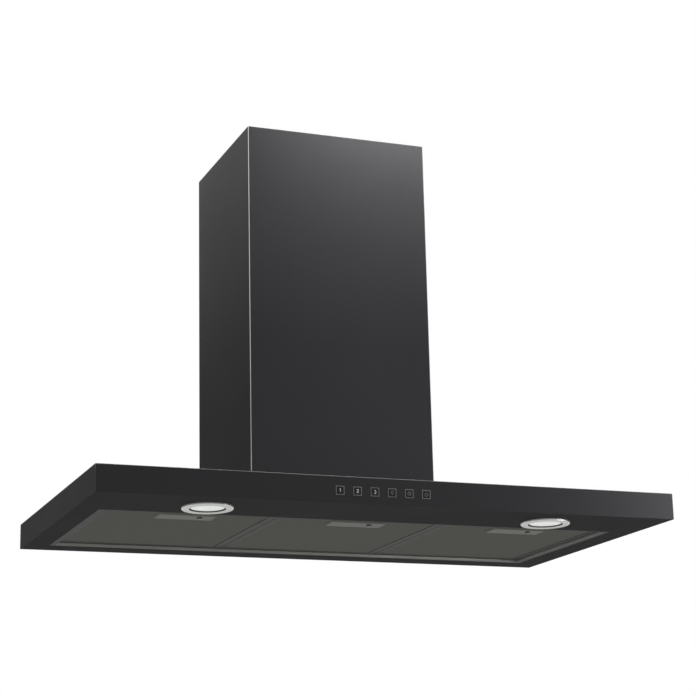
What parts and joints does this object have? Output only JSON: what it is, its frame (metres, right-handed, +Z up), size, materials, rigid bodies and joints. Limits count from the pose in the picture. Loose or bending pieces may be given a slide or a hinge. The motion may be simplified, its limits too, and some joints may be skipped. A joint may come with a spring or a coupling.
{
  "type": "chimney range hood",
  "caption": "Wall-mounted T-shaped range hood: flat black steel canopy with lamps, buttons and tilting grease filters under a telescopic box chimney that hides the blower.",
  "frame": {"origin": "middle of the canopy's lower back edge, on the wall plane", "axes": "+X to the right along the canopy's width, +Y into the wall, +Z up"},
  "size_m": [0.9, 0.5006, 0.656],
  "materials": {
    "black_paint": "satin black powder coat on steel sheet",
    "satin_plate": "dark satin stamped steel",
    "spring_steel": "bright spring steel",
    "filter_aluminium": "dark anodised aluminium",
    "filter_mesh": "fine dark anodised aluminium mesh",
    "satin_nickel": "satin nickel plate",
    "frosted_lens": "frosted glass",
    "circuit_board": "green circuit board",
    "cast_aluminium": "die-cast aluminium",
    "button_frame": "grey moulded plastic",
    "button_cap": "black moulded plastic with printed marks",
    "black_plastic": "black moulded plastic",
    "galvanised": "galvanised steel sheet",
    "blower_plastic": "dark grey moulded plastic",
    "collar_plastic": "black moulded plastic",
    "flap_plastic": "light grey moulded plastic",
    "impeller_plastic": "off-white moulded plastic",
    "motor_paint": "grey painted motor can",
    "bush_rubber": "rubber bush",
    "screw_zinc": "zinc-plated screw"
  },
  "bodies": {
    "hood": {"canopy_shell": "black_paint", "underside_panel": "black_paint", "filter_surround": "filter_aluminium", "button_frame": "button_frame", "control_board": "circuit_board", "tact_switches": "black_plastic", "lamp_bezel_left": "satin_nickel", "lamp_lens_left": "frosted_lens", "lamp_board_left": "circuit_board", "lamp_can_left": "cast_aluminium", "lamp_bezel_right": "satin_nickel", "lamp_lens_right": "frosted_lens", "lamp_board_right": "circuit_board", "lamp_can_right": "cast_aluminium", "lamp_clips": "spring_steel", "blower_box": "galvanised", "box_front_panel": "galvanised", "wall_hangers": "galvanised", "volute_left": "blower_plastic", "volute_right": "blower_plastic", "outlet_duct": "blower_plastic", "fan_motor": "motor_paint", "motor_bracket": "galvanised", "motor_bushes": "bush_rubber", "capacitor": "collar_plastic", "outlet_collar": "collar_plastic", "control_unit": "black_plastic", "cable_gland": "black_plastic", "lower_chimney": "black_paint", "box_screws": "screw_zinc", "chimney_screws": "screw_zinc", "collar_screws": "screw_zinc"},
    "upper_chimney": {"upper_chimney": "black_paint", "chimney_bracket": "galvanised", "bracket_screws": "screw_zinc"},
    "fan_wheel": {"impeller": "impeller_plastic", "motor_shaft": "spring_steel"},
    "flap_front": {"flap_front": "flap_plastic"},
    "flap_rear": {"flap_rear": "flap_plastic"},
    "filter_1": {"filter_frame_1": "filter_aluminium", "filter_mesh_1": "filter_mesh", "latch_plate_1": "satin_plate", "latch_spring_1": "spring_steel"},
    "latch_1": {"latch_bolt_1": "satin_plate"},
    "filter_2": {"filter_frame_2": "filter_aluminium", "filter_mesh_2": "filter_mesh", "latch_plate_2": "satin_plate", "latch_spring_2": "spring_steel"},
    "latch_2": {"latch_bolt_2": "satin_plate"},
    "filter_3": {"filter_frame_3": "filter_aluminium", "filter_mesh_3": "filter_mesh", "latch_plate_3": "satin_plate", "latch_spring_3": "spring_steel"},
    "latch_3": {"latch_bolt_3": "satin_plate"},
    "button_1": {"button_1": "button_cap"},
    "button_2": {"button_2": "button_cap"},
    "button_3": {"button_3": "button_cap"},
    "button_4": {"button_4": "button_cap"},
    "button_5": {"button_5": "button_cap"},
    "button_6": {"button_6": "button_cap"}
  },
  "joints": [
    {"name": "upper_chimney_slide", "type": "slide", "parent": "hood", "child": "upper_chimney", "axis": [0, 0, 1], "range_m": [0, 0.5]},
    {"name": "fan_spin", "type": "hinge", "parent": "hood", "child": "fan_wheel", "pos_m": [0, -0.1345, 0.165], "axis": [1, 0, 0], "continuous": true},
    {"name": "flap_front_hinge", "type": "hinge", "parent": "hood", "child": "flap_front", "pos_m": [0, -0.1022, 0.30895], "axis": [-1, 0, 0], "range_deg": [0, 80]},
    {"name": "flap_rear_hinge", "type": "hinge", "parent": "hood", "child": "flap_rear", "pos_m": [0, -0.0978, 0.30895], "axis": [1, 0, 0], "range_deg": [0, 80]},
    {"name": "filter_1_hinge", "type": "hinge", "parent": "hood", "child": "filter_1", "pos_m": [-0.269, -0.046, 0.005], "axis": [1, 0, 0], "range_deg": [0, 70]},
    {"name": "latch_1_slide", "type": "slide", "parent": "filter_1", "child": "latch_1", "axis": [0, 1, 0], "range_m": [0, 0.008], "stiffness_N_per_m": 300, "springref_m": -0.004, "deforming": ["latch_spring_1"]},
    {"name": "filter_2_hinge", "type": "hinge", "parent": "hood", "child": "filter_2", "pos_m": [0, -0.046, 0.005], "axis": [1, 0, 0], "range_deg": [0, 70]},
    {"name": "latch_2_slide", "type": "slide", "parent": "filter_2", "child": "latch_2", "axis": [0, 1, 0], "range_m": [0, 0.008], "stiffness_N_per_m": 300, "springref_m": -0.004, "deforming": ["latch_spring_2"]},
    {"name": "filter_3_hinge", "type": "hinge", "parent": "hood", "child": "filter_3", "pos_m": [0.269, -0.046, 0.005], "axis": [1, 0, 0], "range_deg": [0, 70]},
    {"name": "latch_3_slide", "type": "slide", "parent": "filter_3", "child": "latch_3", "axis": [0, 1, 0], "range_m": [0, 0.008], "stiffness_N_per_m": 300, "springref_m": -0.004, "deforming": ["latch_spring_3"]},
    {"name": "button_1_press", "type": "slide", "parent": "hood", "child": "button_1", "axis": [0, 1, 0], "range_m": [0, 0.0012], "stiffness_N_per_m": 800, "springref_m": -0.001},
    {"name": "button_2_press", "type": "slide", "parent": "hood", "child": "button_2", "axis": [0, 1, 0], "range_m": [0, 0.0012], "stiffness_N_per_m": 800, "springref_m": -0.001},
    {"name": "button_3_press", "type": "slide", "parent": "hood", "child": "button_3", "axis": [0, 1, 0], "range_m": [0, 0.0012], "stiffness_N_per_m": 800, "springref_m": -0.001},
    {"name": "button_4_press", "type": "slide", "parent": "hood", "child": "button_4", "axis": [0, 1, 0], "range_m": [0, 0.0012], "stiffness_N_per_m": 800, "springref_m": -0.001},
    {"name": "button_5_press", "type": "slide", "parent": "hood", "child": "button_5", "axis": [0, 1, 0], "range_m": [0, 0.0012], "stiffness_N_per_m": 800, "springref_m": -0.001},
    {"name": "button_6_press", "type": "slide", "parent": "hood", "child": "button_6", "axis": [0, 1, 0], "range_m": [0, 0.0012], "stiffness_N_per_m": 800, "springref_m": -0.001}
  ]
}
